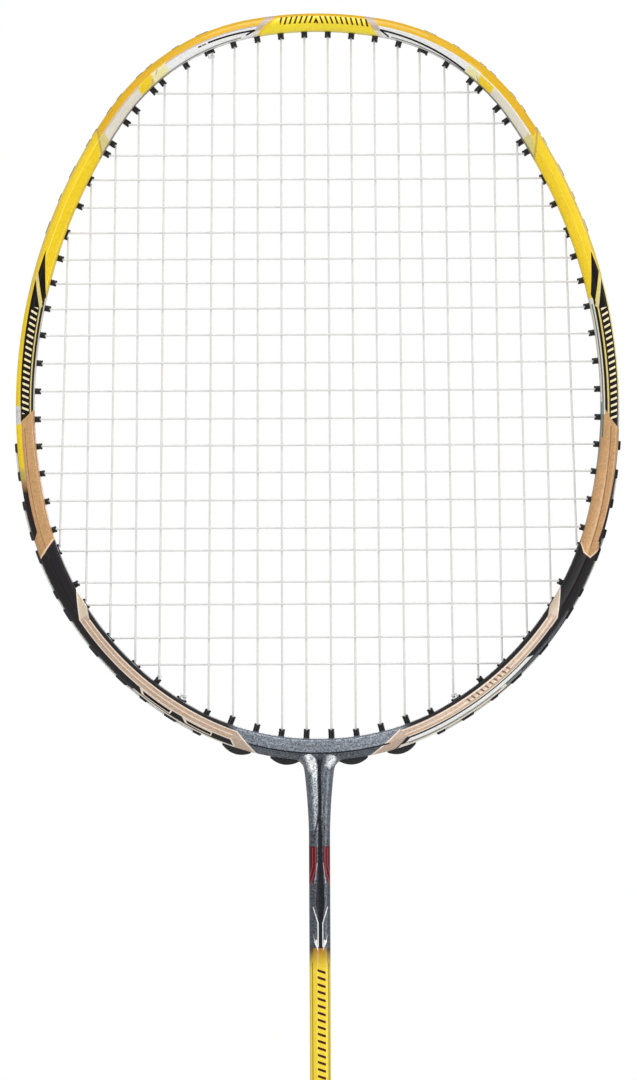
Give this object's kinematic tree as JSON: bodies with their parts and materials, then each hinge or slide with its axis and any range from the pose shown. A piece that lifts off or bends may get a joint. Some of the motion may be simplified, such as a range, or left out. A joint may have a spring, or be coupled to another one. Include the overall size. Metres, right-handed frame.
{
  "type": "badminton racket",
  "caption": "Badminton racket with a rounded-square oval head, woven string bed, slender round shaft, cone cap and octagonal wrapped handle.",
  "frame": {"origin": "centre of the butt cap's end face", "axes": "+Z along the shaft towards the head, +X across the head, Y through the thickness; the string bed lies in the plane y = 0 and the pictured face looks towards -Y"},
  "size_m": [0.2064, 0.029, 0.675],
  "materials": {
    "frame_lacquer": "gloss lacquer over carbon fibre",
    "throat_metallic": "gloss metallic lacquer",
    "core_laminate": "moulded carbon laminate",
    "shaft_lacquer": "gloss lacquer over carbon fibre",
    "string": "coated nylon multifilament",
    "grommet_nylon": "moulded nylon",
    "cap_plastic": "satin moulded plastic",
    "handle_wood": "planed hardwood",
    "grip_tape": "embossed polyurethane grip band",
    "collar_tape": "vinyl finishing tape",
    "staple_steel": "bright wire",
    "badge": "gloss disc"
  },
  "bodies": {
    "root": {"head_frame": "frame_lacquer", "throat_joint": "throat_metallic", "t_joint_core": "core_laminate", "shaft": "shaft_lacquer", "main_string": "string", "cross_string": "string", "string_knots": "string", "grommets_top": "grommet_nylon", "grommets_shoulder_left": "grommet_nylon", "grommets_shoulder_right": "grommet_nylon", "grommets_side_left": "grommet_nylon", "grommets_side_right": "grommet_nylon", "grommets_lower_left": "grommet_nylon", "grommets_lower_right": "grommet_nylon", "shared_grommets_upper": "grommet_nylon", "shared_grommets_lower": "grommet_nylon", "tie_off_grommets": "grommet_nylon", "saddle_grommets": "grommet_nylon", "cone_cap": "cap_plastic", "handle_core": "handle_wood", "grip_wrap": "grip_tape", "grip_collar": "collar_tape", "grip_staples": "staple_steel", "butt_cap": "cap_plastic", "butt_badge": "badge"}
  },
  "joints": []
}
